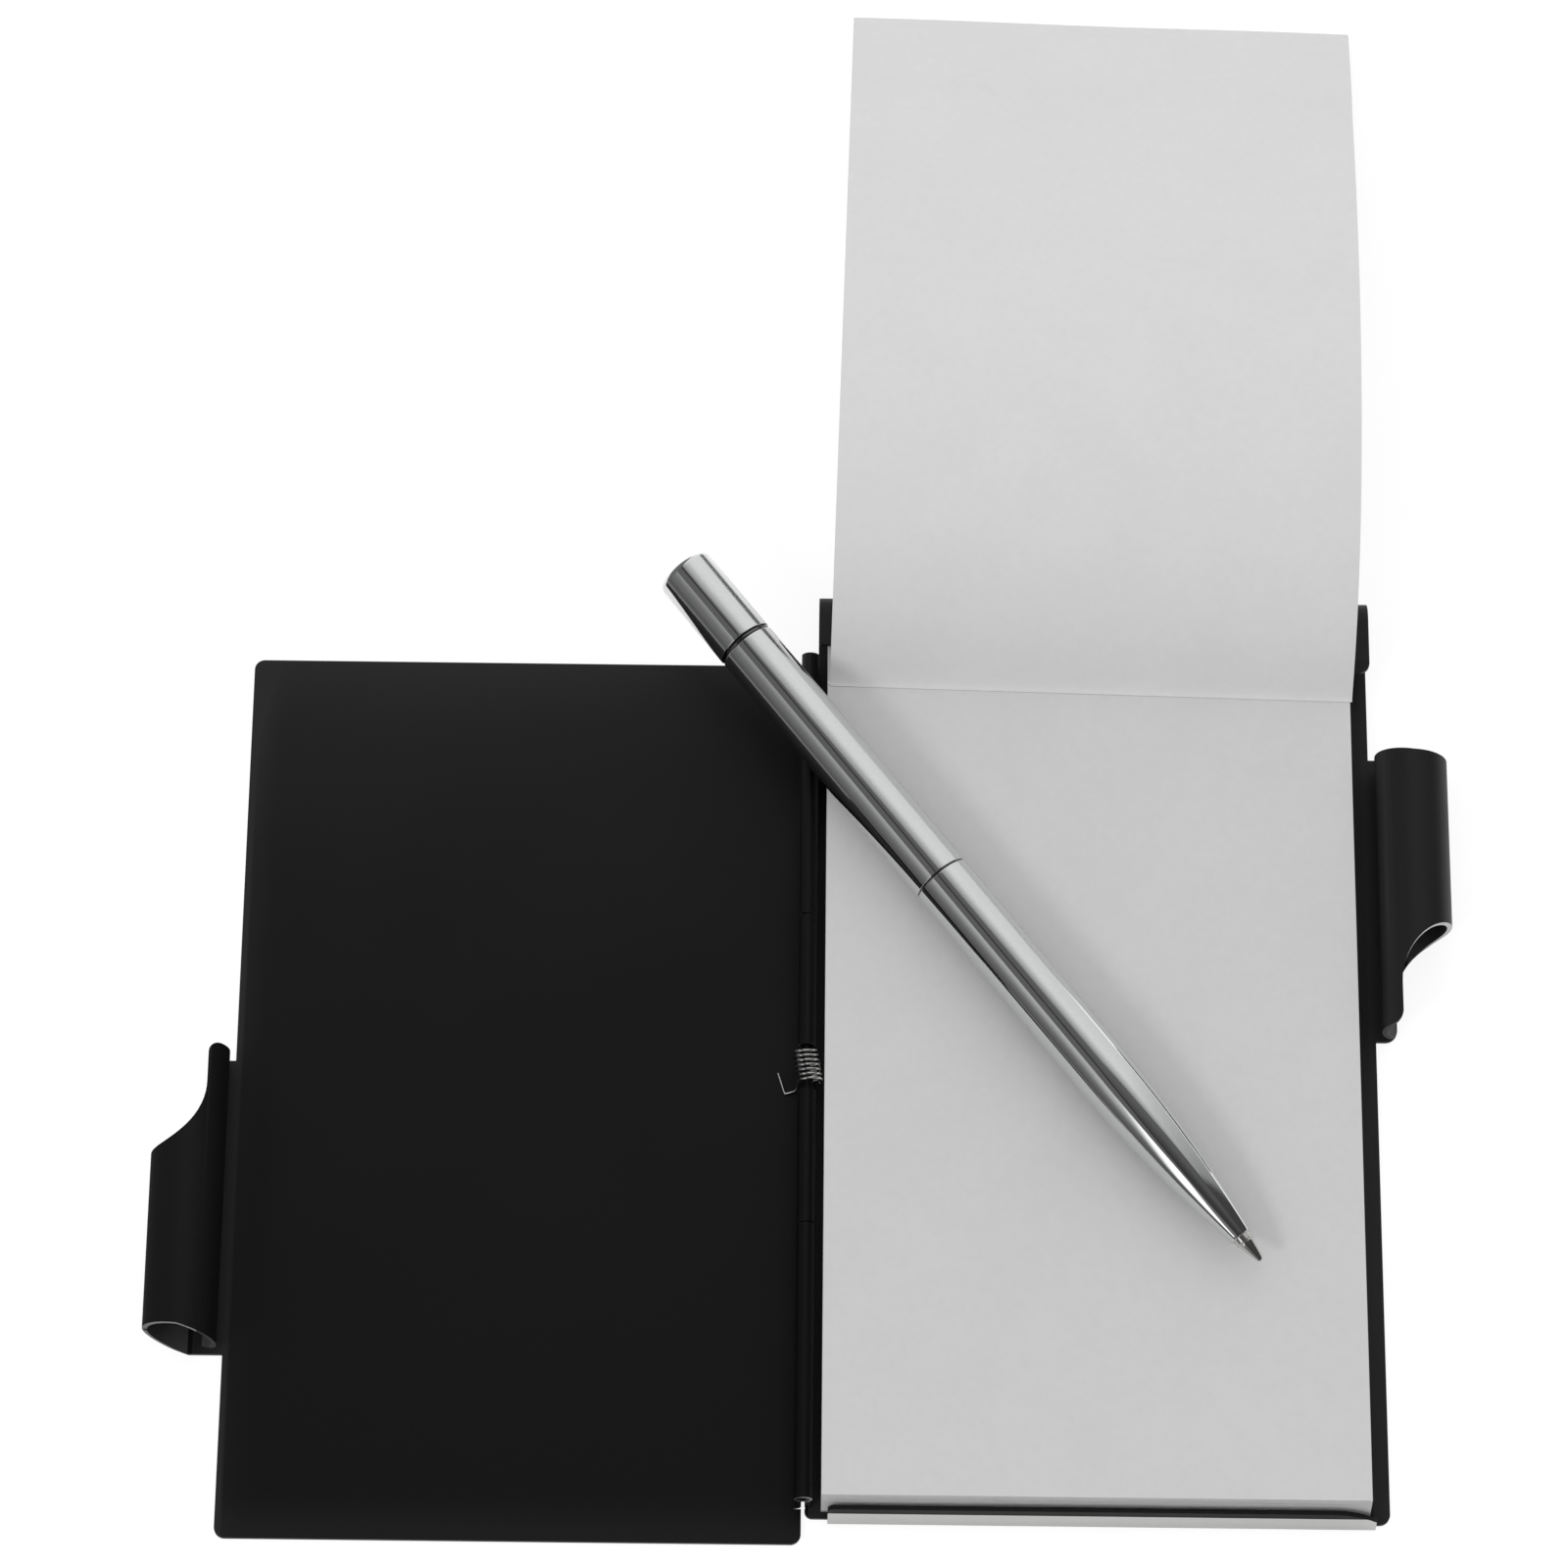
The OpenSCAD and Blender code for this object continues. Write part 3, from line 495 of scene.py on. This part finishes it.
def make_piece(name, points, faces, finish, crease=35):
    """A mesh object at the origin from points and faces; doubles are merged, so poles and seams close."""
    mesh = bpy.data.meshes.new(name)
    mesh.from_pydata(np.asarray(points).reshape(-1, 3).tolist(), [], [list(f) for f in faces])
    shape = bmesh.new()
    shape.from_mesh(mesh)
    bmesh.ops.remove_doubles(shape, verts=shape.verts, dist=2e-7)
    bmesh.ops.dissolve_degenerate(shape, edges=shape.edges, dist=1e-7)
    shape.to_mesh(mesh)
    shape.free()
    return shown(name, mesh, finish, crease)


def skin(rows, columns):
    """Quads between rows of points, each row a closed ring of the given number of points."""
    i, j = np.meshgrid(np.arange(rows - 1), np.arange(columns), indexing="ij")
    a, b = i * columns + j, i * columns + (j + 1) % columns
    return np.stack((a, b, b + columns, a + columns), axis=-1).reshape(-1, 4)


def pen_axes():
    """Unit vectors along the pen, across it on the level, and up from it."""
    flat = math.cos(PEN_DIP)
    along = np.array((math.sin(PEN_TURN) * flat, -math.cos(PEN_TURN) * flat, -math.sin(PEN_DIP)))
    across = np.array((math.cos(PEN_TURN), math.sin(PEN_TURN), 0.0))
    return along, across, np.cross(along, across)


def turned(name, profile, finish, body, node_name, around=160):
    """A surface of revolution about the pen's axis from a profile of (station, radius) in mm: the point at
    station s and angle a lies at start + s * along + r * (cos a * across + sin a * up)."""
    along, across, up = pen_axes()
    start = PEN_AT - PEN_OVER * along
    s, r = np.asarray(profile).T * MM
    a = np.linspace(0, 2 * math.pi, around, endpoint=False)
    ring = np.cos(a)[:, None] * across + np.sin(a)[:, None] * up
    points = start + s[:, None, None] * along + r[:, None, None] * ring
    made = make_piece(name, points, skin(len(s), around), finish)
    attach(made, body)
    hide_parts(node_name)


def quarter(station, radius, size, start, end, steps=7):
    """Points of a round edge: its centre, its size, and its first and last angle in degrees."""
    a = np.radians(np.linspace(start, end, steps))
    return [(station + size * math.cos(t), radius + size * math.sin(t)) for t in a]


def straight(start, end):
    """Two points just inside the ends of a straight run, which keep the smooth shading of its round edges
    there."""
    inset = 0.12
    return [(start + inset, PEN_R), (end - inset, PEN_R)]


def tube_run(start, end):
    """A straight run of the barrel between two square ends with small round edges."""
    return [*quarter(start + EDGE, PEN_R - EDGE, EDGE, 180, 90), *straight(start + EDGE, end - EDGE),
            *quarter(end - EDGE, PEN_R - EDGE, EDGE, 90, 0)]


def bullet(share):
    """Radius of the nose at a share of its length: a parabola that leaves the barrel without a corner."""
    return PEN_R - (PEN_R - MOUTH_R) * share ** 2


def make_pen():
    """The pen's outer pieces, each turned in one profile with its own small round edges, and open where the
    real one is. All numbers are millimetres."""
    cap = [(0, 0), *quarter(DOME, PEN_R - DOME, DOME, 180, 90, 14), *straight(DOME, CAP_LEN - EDGE),
           *quarter(CAP_LEN - EDGE, PEN_R - EDGE, EDGE, 90, 0),
           (CAP_LEN, BORE_R), (CAP_FLOOR, BORE_R), (CAP_FLOOR, 0)]
    turned("cap", cap, CHROME, "pen_top", "pen_cap")

    root = CAP_LEN + RING_W
    ring_start, ring_end = CAP_LEN + RING_PLAY, root - RING_PLAY
    ring_r = PEN_R - RING_DOWN - RING_ROUND
    ring = [(ring_start, BORE_R), *quarter(ring_start + RING_ROUND, ring_r, RING_ROUND, 180, 90),
            *quarter(ring_end - RING_ROUND, ring_r, RING_ROUND, 90, 0), (ring_end, BORE_R),
            (ring_start, BORE_R)]
    turned("cap_ring", ring, DARK_RING, "pen_top", "pen_cap_ring")

    upper_end = JOINT_AT - JOINT_W
    upper = [(root, SLEEVE_R), *tube_run(root, upper_end), (upper_end, BORE_R), (root + SHOULDER, BORE_R),
             (root + SHOULDER, SLEEVE_BORE), (SLEEVE_AT, SLEEVE_BORE), (SLEEVE_AT, SLEEVE_R),
             (root, SLEEVE_R)]
    turned("upper_barrel", upper, CHROME, "pen_top", "pen_upper_barrel")

    joint = [(upper_end, JOINT_CORE), (upper_end, JOINT_R), (JOINT_AT, JOINT_R), (JOINT_AT, JOINT_CORE),
             (upper_end, JOINT_CORE)]
    turned("joint_line", joint, DARK_RING, "pen_body", "joint_ring")

    nose = [(NOSE_AT + NOSE_LEN * u, bullet(u)) for u in np.linspace(0, 0.985, 60)]
    lower = [(JOINT_AT, BORE_R), *quarter(JOINT_AT + EDGE, PEN_R - EDGE, EDGE, 180, 90),
             *straight(JOINT_AT + EDGE, NOSE_AT), *nose,
             *quarter(PEN_LEN - LIP, MOUTH_R - LIP + 0.03, LIP, 75, -20, 9),
             (PEN_LEN - LIP, GUIDE_R), (PEN_LEN - GUIDE_LEN, GUIDE_R), (PEN_LEN - GUIDE_LEN, CORE_R),
             (JOINT_AT + CORE_AT, CORE_R), (JOINT_AT + CORE_AT, BORE_R), (JOINT_AT, BORE_R)]
    turned("lower_barrel", lower, CHROME, "pen_body", "pen_lower_barrel")

    tip = POINT_AT - BALL_R
    taper = [(NECK_AT + (tip - NECK_AT) * u, NECK_R - (REFILL_R - 0.6) * u ** TAPER)
             for u in np.linspace(0, 1, 24)]
    cone = [(SHANK_AT, 0), (SHANK_AT, SHANK_R), (STEP_AT, SHANK_R), (STEP_AT, REFILL_R),
            *quarter(PEN_LEN + 0.7, REFILL_R - BRIM, BRIM, 90, 10), (PEN_LEN + 0.85, NECK_R), *taper,
            (tip + 0.02, 0.33), (tip - 0.1, SEAT_R), (tip - 0.1, 0)]
    turned("writing_point", cone, NICKEL, "refill", "refill_point", 96)
    ball = [(tip + BALL_R * math.cos(t), BALL_R * math.sin(t)) for t in np.linspace(math.pi, 0, 24)]
    turned("ball", ball, CARBIDE, "refill", "writing_ball", 48)


def sheet_arch(v):
    """Middle line of the turned sheet in (y, z) mm from its fold: one cubic curve over the clamp to where its
    far edge rests on the table. Low down the height h becomes hypot(h, r) - r with
    r = FOLD_ROUND exp(-h / ROUND_FADE), which bends the sheet off the pad on a round instead of a corner."""
    v = np.asarray(v)[:, None]
    rise = ((1 - v) ** 3 * ARCH[0] + 3 * v * (1 - v) ** 2 * ARCH[1] + 3 * v ** 2 * (1 - v) * ARCH[2]
            + v ** 3 * ARCH[3])
    high = np.maximum(rise[:, 1], 0)
    soft = FOLD_ROUND * np.exp(-high / ROUND_FADE)
    rise[:, 1] += np.hypot(high, soft) - soft - high
    return rise


def make_page():
    """The sheet that is folded over the clamp, and its root that lies flat on the pad. At (u, v) the sheet's
    middle lies on the arch, swelled by sin(pi u) and rippled across its width; its fold runs a little nearer
    to the foot at the left than at the right. Its thickness goes to both sides along the normal, and is
    thinner at the fold."""
    rows, columns, crowding = 120, 40, 1.35
    share = np.linspace(0, 1, rows) ** crowding
    line = sheet_arch(share) * MM
    slope = np.gradient(line, axis=0)
    slope /= np.linalg.norm(slope, axis=1, keepdims=True)
    out = np.stack((-slope[:, 1], slope[:, 0]), axis=1)
    u = np.linspace(0, 1, columns)
    swell, ripple = 0.00035, 0.00006
    swell = swell * np.sin(math.pi * np.clip(share * 1.1, 0, 1))[:, None] * np.sin(math.pi * u)[None, :]
    ripple = ripple * np.sin(2 * math.pi * (u * 1.5))[None, :] * np.sin(2 * math.pi * share * 1.3)[:, None]
    lift = (swell + ripple) * (1 - np.exp(-share * 30))[:, None]
    wide = (u - 0.5) * PAGE_W
    half = 0.5 * SHEET_PAPER * (1 - 0.85 * np.exp(-60 * share))[:, None]
    early = (FOLD_LEFT + (FOLD_RIGHT - FOLD_LEFT) * u)[None, :] * np.exp(-25 * share)[:, None]
    turn_c, turn_s = math.cos(PAGE_SKEW), math.sin(PAGE_SKEW)

    def face(offset):
        y = line[:, :1] + out[:, :1] * (lift + offset) - early
        z = line[:, 1:] + out[:, 1:] * (lift + offset)
        x = np.broadcast_to(wide, y.shape)
        return np.stack((PAGE_MID + x * turn_c - y * turn_s, FOLD_Y + x * turn_s + y * turn_c, FOLD_Z + z),
                        axis=-1)

    points = np.concatenate((face(half), face(-half)[:, ::-1]), axis=1)
    faces = skin(rows, 2 * columns)
    ring = np.arange(2 * columns)
    there, back = ring[:columns], ring[::-1][:columns]
    first = np.stack((there[:-1], back[:-1], back[1:], there[1:]), axis=1)
    last = first[:, ::-1] + (rows - 1) * 2 * columns
    faces = np.concatenate((faces, first, last))[:, ::-1]
    page = make_piece("turned_page", points, faces, PAGE_PAINTED_LIGHTER, 60)
    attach(page, "page")
    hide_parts("turned_sheet")
    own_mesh(page)

    skew, under_fold, clear = 0.5 * PAGE_W * math.sin(PAGE_SKEW), 0.0002, 0.00001
    corners = np.array(((PAD_X0, FOLD_Y - skew + under_fold - FOLD_LEFT),
                        (PAD_X1, FOLD_Y + skew + under_fold - FOLD_RIGHT),
                        (PAD_X1, PAD_HEAD), (PAD_X0, PAD_HEAD)))
    levels = np.array((PAD_Z1 + clear, PAD_Z1 + SHEET_PAPER))
    root_points = np.concatenate([np.column_stack((corners, np.full(4, z))) for z in levels])
    stub = make_piece("page_root", root_points, [*skin(2, 4).tolist(), (3, 2, 1, 0), (4, 5, 6, 7)], PAGE_PAINTED_LIGHTER)
    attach(stub, "back_case")


def make_stack():
    """The pad's sheets as one stepped tower: each sheet has its own outline, set off by a few hundredths of a
    millimetre and shifted towards the head by its share of the fan, and every outline is a little wavy. A
    narrow groove parts each sheet from the next."""
    rng = np.random.default_rng(7)
    sheets, steps = 46, 28
    uneven, wavy, groove = 0.00003, 0.00001, 0.0015
    height = (PAD_Z1 - PAD_Z0) / sheets
    gap = 0.12 * height
    t = np.linspace(0, 1, steps, endpoint=False)
    rings = []

    def lay(outline, z):
        rings.append(np.column_stack((outline, np.full(len(outline), z))))

    for i in range(sheets):
        share = i / (sheets - 1)
        jog = np.abs(rng.normal(0, uneven, 4))
        x0, x1 = PAD_X0 + jog[0], PAD_X1 - jog[1]
        y0, y1 = PAD_FOOT + PAD_FAN * share + jog[2], PAD_HEAD - jog[3]
        wave = wavy * np.sin(2 * math.pi * (t * 2 + rng.uniform(0, 1)))
        foot = np.column_stack((x0 + (x1 - x0) * t, y0 + wave))
        right = np.column_stack((x1 - wave, y0 + (y1 - y0) * t))
        head = np.column_stack((x1 - (x1 - x0) * t, np.full(steps, y1)))
        left = np.column_stack((x0 + wave, y1 - (y1 - y0) * t))
        outline = np.concatenate((foot, right, head, left))
        z = PAD_Z0 + i * height
        lay(outline, z + (0 if i == 0 else gap))
        lay(outline, z + height)
        if i < sheets - 1:
            inner = outline * (1 - groove) + groove * outline.mean(axis=0)
            lay(inner, z + height)
            lay(inner, z + height + gap)
    count = 4 * steps
    faces = skin(len(rings), count).tolist()
    faces.append(list(range(count - 1, -1, -1)))
    faces.append([(len(rings) - 1) * count + k for k in range(count)])
    stack = make_piece("sheets", np.stack(rings), faces, PAPER, 20)
    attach(stack, "back_case")
    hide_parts("paper_block")


def wire(name, route):
    """The spring's wire along a route of points: each ring stands square to the route, turned without twist
    from the last."""
    sides = 14
    p = np.asarray(route)
    d = np.gradient(p, axis=0)
    d /= np.linalg.norm(d, axis=1, keepdims=True)
    n = np.cross(d[0], (0.3, 0.2, 0.9))
    normals = []
    for way in d:
        n = n - way * np.dot(n, way)
        n = n / np.linalg.norm(n)
        normals.append(n)
    n = np.array(normals)
    b = np.cross(d, n)
    a = np.linspace(0, 2 * math.pi, sides, endpoint=False)[None, :, None]
    rings = p[:, None] + WIRE_R * (np.cos(a) * n[:, None] + np.sin(a) * b[:, None])
    faces = skin(len(p), sides)[:, ::-1].tolist()
    faces.append(list(range(sides)))
    faces.append([(len(p) - 1) * sides + k for k in range(sides - 1, -1, -1)])
    return make_piece(name, rings, faces, STEEL, 50)


def rounded_route(corners, radius):
    """A route through corner points with each inner corner cut round: points of a quadratic curve from radius
    before the corner to radius after it, or less where the corners stand close."""
    corners = [np.asarray(c, dtype=float) for c in corners]
    route = [corners[0]]
    for before, here, after in zip(corners, corners[1:], corners[2:]):
        r = min(radius, 0.45 * np.linalg.norm(here - before), 0.45 * np.linalg.norm(after - here))
        first = here + (before - here) / np.linalg.norm(before - here) * r
        second = here + (after - here) / np.linalg.norm(after - here) * r
        for t in np.linspace(0, 1, 8):
            route.append((1 - t) ** 2 * first + 2 * t * (1 - t) * here + t ** 2 * second)
    route.append(corners[-1])
    return np.array(route)


def make_spring():
    """The torsion spring: six and a half curls round the pin. At angle a the wire's middle lies at
    (middle + r cos a, top - pitch a / 2 pi - lean r sin a, axis + r sin a); the coil's middle drifts towards
    the pad and its lean eases from one end to the other, as a loaded spring's do. The foot on the back leaf
    hides below the curls. The other foot rides on the cover."""
    turns, top, bottom = 6.5, -0.00112, -0.00498
    a = np.linspace(0, 2 * math.pi * turns, int(turns * 40) + 1)
    share = a / a[-1]
    drift, eased = 0.0007, 0.18
    middle = HINGE_X - 0.0003 + drift * share
    lean = 0.28 - eased * share
    y = top + (bottom - top) * share - lean * COIL_R * np.sin(a)
    coil = np.column_stack((middle + COIL_R * np.cos(a), y, HINGE_Z + COIL_R * np.sin(a)))
    clear = 0.00002
    foot_z = SHEET + WIRE_R + clear
    back_x, back_len, drop = HINGE_X + 0.0015, 0.003, 0.0012
    lead = [(back_x, top - back_len, foot_z), (back_x, top, foot_z), coil[0] + (0, 0, -drop)]
    lead = rounded_route(lead, 0.0006)[:-1]
    spring = wire("spring_coil", np.concatenate((lead, coil)))
    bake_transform(spring)
    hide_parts("torsion_spring")

    heel = np.array((HINGE_X - 0.00128, bottom, foot_z))
    corner = heel + (-0.00122, -0.00048, 0)
    leg = [coil[-1], heel + (0.0002, 0.0001, 0.0010), heel, corner, corner + (-0.00083, 0.00262, 0)]
    foot = wire("spring_leg", rounded_route(leg, 0.00045))
    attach(foot, "cover")


def merged_copy(name, piece, body):
    """A lacquered copy of a sheet-metal node with its doubles merged and flat faces joined, so that a bevel
    can break its edges."""
    shape = bmesh.new()
    shape.from_mesh(nodes[name].data)
    bmesh.ops.remove_doubles(shape, verts=shape.verts, dist=1.5e-6)
    bmesh.ops.dissolve_degenerate(shape, edges=shape.edges, dist=1e-6)
    bmesh.ops.dissolve_limit(shape, angle_limit=math.radians(0.4), verts=shape.verts, edges=shape.edges)
    mesh = bpy.data.meshes.new(piece)
    shape.to_mesh(mesh)
    shape.free()
    made = shown(piece, mesh, BLACK, 38)
    bevel = made.modifiers.new("broken_edges", "BEVEL")
    bevel.width = BROKEN_EDGE
    bevel.segments = 2
    bevel.limit_method = "ANGLE"
    bevel.angle_limit = math.radians(40)
    bevel.use_clamp_overlap = True
    bevel.harden_normals = True
    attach(made, body)
    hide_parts(name)


make_pen()
make_page()
make_stack()
make_spring()
merged_copy("back_shell", "back_leaf", "back_case")
merged_copy("front_cover", "cover_leaf", "cover")


# Floor and light

def lay_floor():
    """The white table. The camera sees it at FLOOR_WHITE, most of that from its own glow, so that shadows
    stay faint. In reflections it glows by FLOOR_BACK behind the pad's head and less in front, and is dim at
    the far left."""
    bpy.ops.mesh.primitive_plane_add(size=FLOOR_SIZE)
    floor = bpy.context.object
    floor.name = "floor"
    finish, tree, shader = material("pale_floor")
    m = Maths(tree)
    rays = node(tree, "ShaderNodeLightPath").outputs
    seen, mirrored = rays["Is Camera Ray"], rays["Is Glossy Ray"]
    x, y = parts_of(tree, object_point(tree))[:2]
    behind_from, behind_to, left_from, left_to = 0.04, 0.08, -0.115, -0.09
    reflected = m.times(mirrored, m.share(y, behind_from, behind_to, FLOOR_GLOW, FLOOR_BACK))
    dim = m.times(mirrored, m.share(x, left_from, left_to, 1.0, 0.0))
    pale = m.tint(dim, (0.9, 0.9, 0.9), (0.12, 0.12, 0.12))
    feed_all(tree, shader, Roughness=0.9, Specular_IOR_Level=0.0, Emission_Color=(1.0, 1.0, 1.0),
             Base_Color=m.tint(seen, pale, (FLOOR_SEEN,) * 3),
             Emission_Strength=m.mix(seen, reflected, FLOOR_WHITE - FLOOR_SEEN))
    floor.data.materials.append(finish)


def light_tent():
    """World light. Diffuse rays meet an even sky, a little brighter at the back. Reflections show the studio,
    in terms of the direction (x, y, z): a tent behind and to the right that brightens with its height over
    the floor's far edge, a dim ceiling, a thin dark seam, and at the left a grey panel that glows towards a
    lamp box at the front left. The camera sees plain white."""
    world = bpy.data.worlds.new("tent")
    bpy.context.scene.world = world
    world.use_nodes = True
    tree = world.node_tree
    m = Maths(tree)
    x, y, z = parts_of(tree, node(tree, "ShaderNodeTexCoord").outputs["Generated"])

    # The tent, over an edge that runs level at the back and slants away at the right
    level_edge = m.line(m.of("MINIMUM", x, 0.0), 0.2, 0.235)
    slant_edge = m.line(x, 0.74, m.line(z, -0.1, 0.05))
    beyond = m.minus(y, m.most(level_edge, slant_edge))
    tent = m.plus(m.share(beyond, 0.03, 0.25, TENT_LOW, TENT_LOW + TENT_RISE, False),
                  m.share(beyond, 0.25, 0.5, 0.0, TENT_TOP, False), m.share(x, 0.3, 0.7, 0.0, TENT_RIGHT))

    # Under that edge: the ceiling overhead, and the dark room at the front right
    ceiling = m.share(y, -0.3, 0.2, CEILING_FRONT, CEILING)
    front = m.share(m.minus(x, m.times(z, 0.45)), -0.35, 0.1)
    studio = m.mix(m.share(beyond, -0.02, 0.03), m.mix(front, ceiling, DARK_FRONT), tent)

    # The panel at the left, which glows towards the lamp box that across is measured from
    across = m.line(x, LAMP_WAY[0], m.line(y, LAMP_WAY[1], m.times(z, LAMP_WAY[2])))
    glow = m.times(m.share(across, -0.38, -0.12, 0.0, PANEL_GLOW), m.share(z, 0.3, 0.72),
                   m.share(across, -0.12, 0.02, 1.0, 0.0))
    panel = m.plus(m.share(z, 0.0, 0.45, PANEL, PANEL_LIFT * PANEL), glow)
    panel = m.mix(m.over(z, CEILING_Z), panel, CEILING)
    box = m.times(m.share(across, -0.13, -0.03), m.share(across, 0.06, 0.10, 1.0, 0.0),
                  m.share(z, 0.2, 0.34), m.share(z, 0.75, 0.78, 1.0, 0.0))
    panel = m.mix(box, panel, LAMP_BOX)

    # The seam where the panel meets the tent
    left = m.line(z, 0.262, x)
    studio = m.mix(m.under(left, LEFT_AT), studio, panel)
    seam = m.share(m.size(m.minus(left, LEFT_AT)), 0.02, 0.04, 1.0, 0.0)
    studio = m.mix(seam, studio, SEAM)

    rays = node(tree, "ShaderNodeLightPath").outputs
    level = m.mix(rays["Is Glossy Ray"], m.line(y, SKY_LEAN, SKY_LEVEL), studio)
    feed_all(tree, tree.nodes["Background"], Color=(1.0, 1.0, 1.0),
             Strength=m.mix(rays["Is Camera Ray"], level, 1.0))


def key_light():
    """A broad soft sun from the front left: it lays the pen's faint shadow on the paper."""
    data = bpy.data.lights.new("key", "SUN")
    data.energy = KEY_LEVEL
    data.angle = KEY_ANGLE
    lamp = bpy.data.objects.new("key", data)
    side = np.cross((0, 0, 1), KEY_WAY)
    side /= np.linalg.norm(side)
    lamp.matrix_world = placement(side, np.cross(KEY_WAY, side), KEY_WAY)
    bpy.context.scene.collection.objects.link(lamp)
    lamp.visible_glossy = False


lay_floor()
key_light()
light_tent()
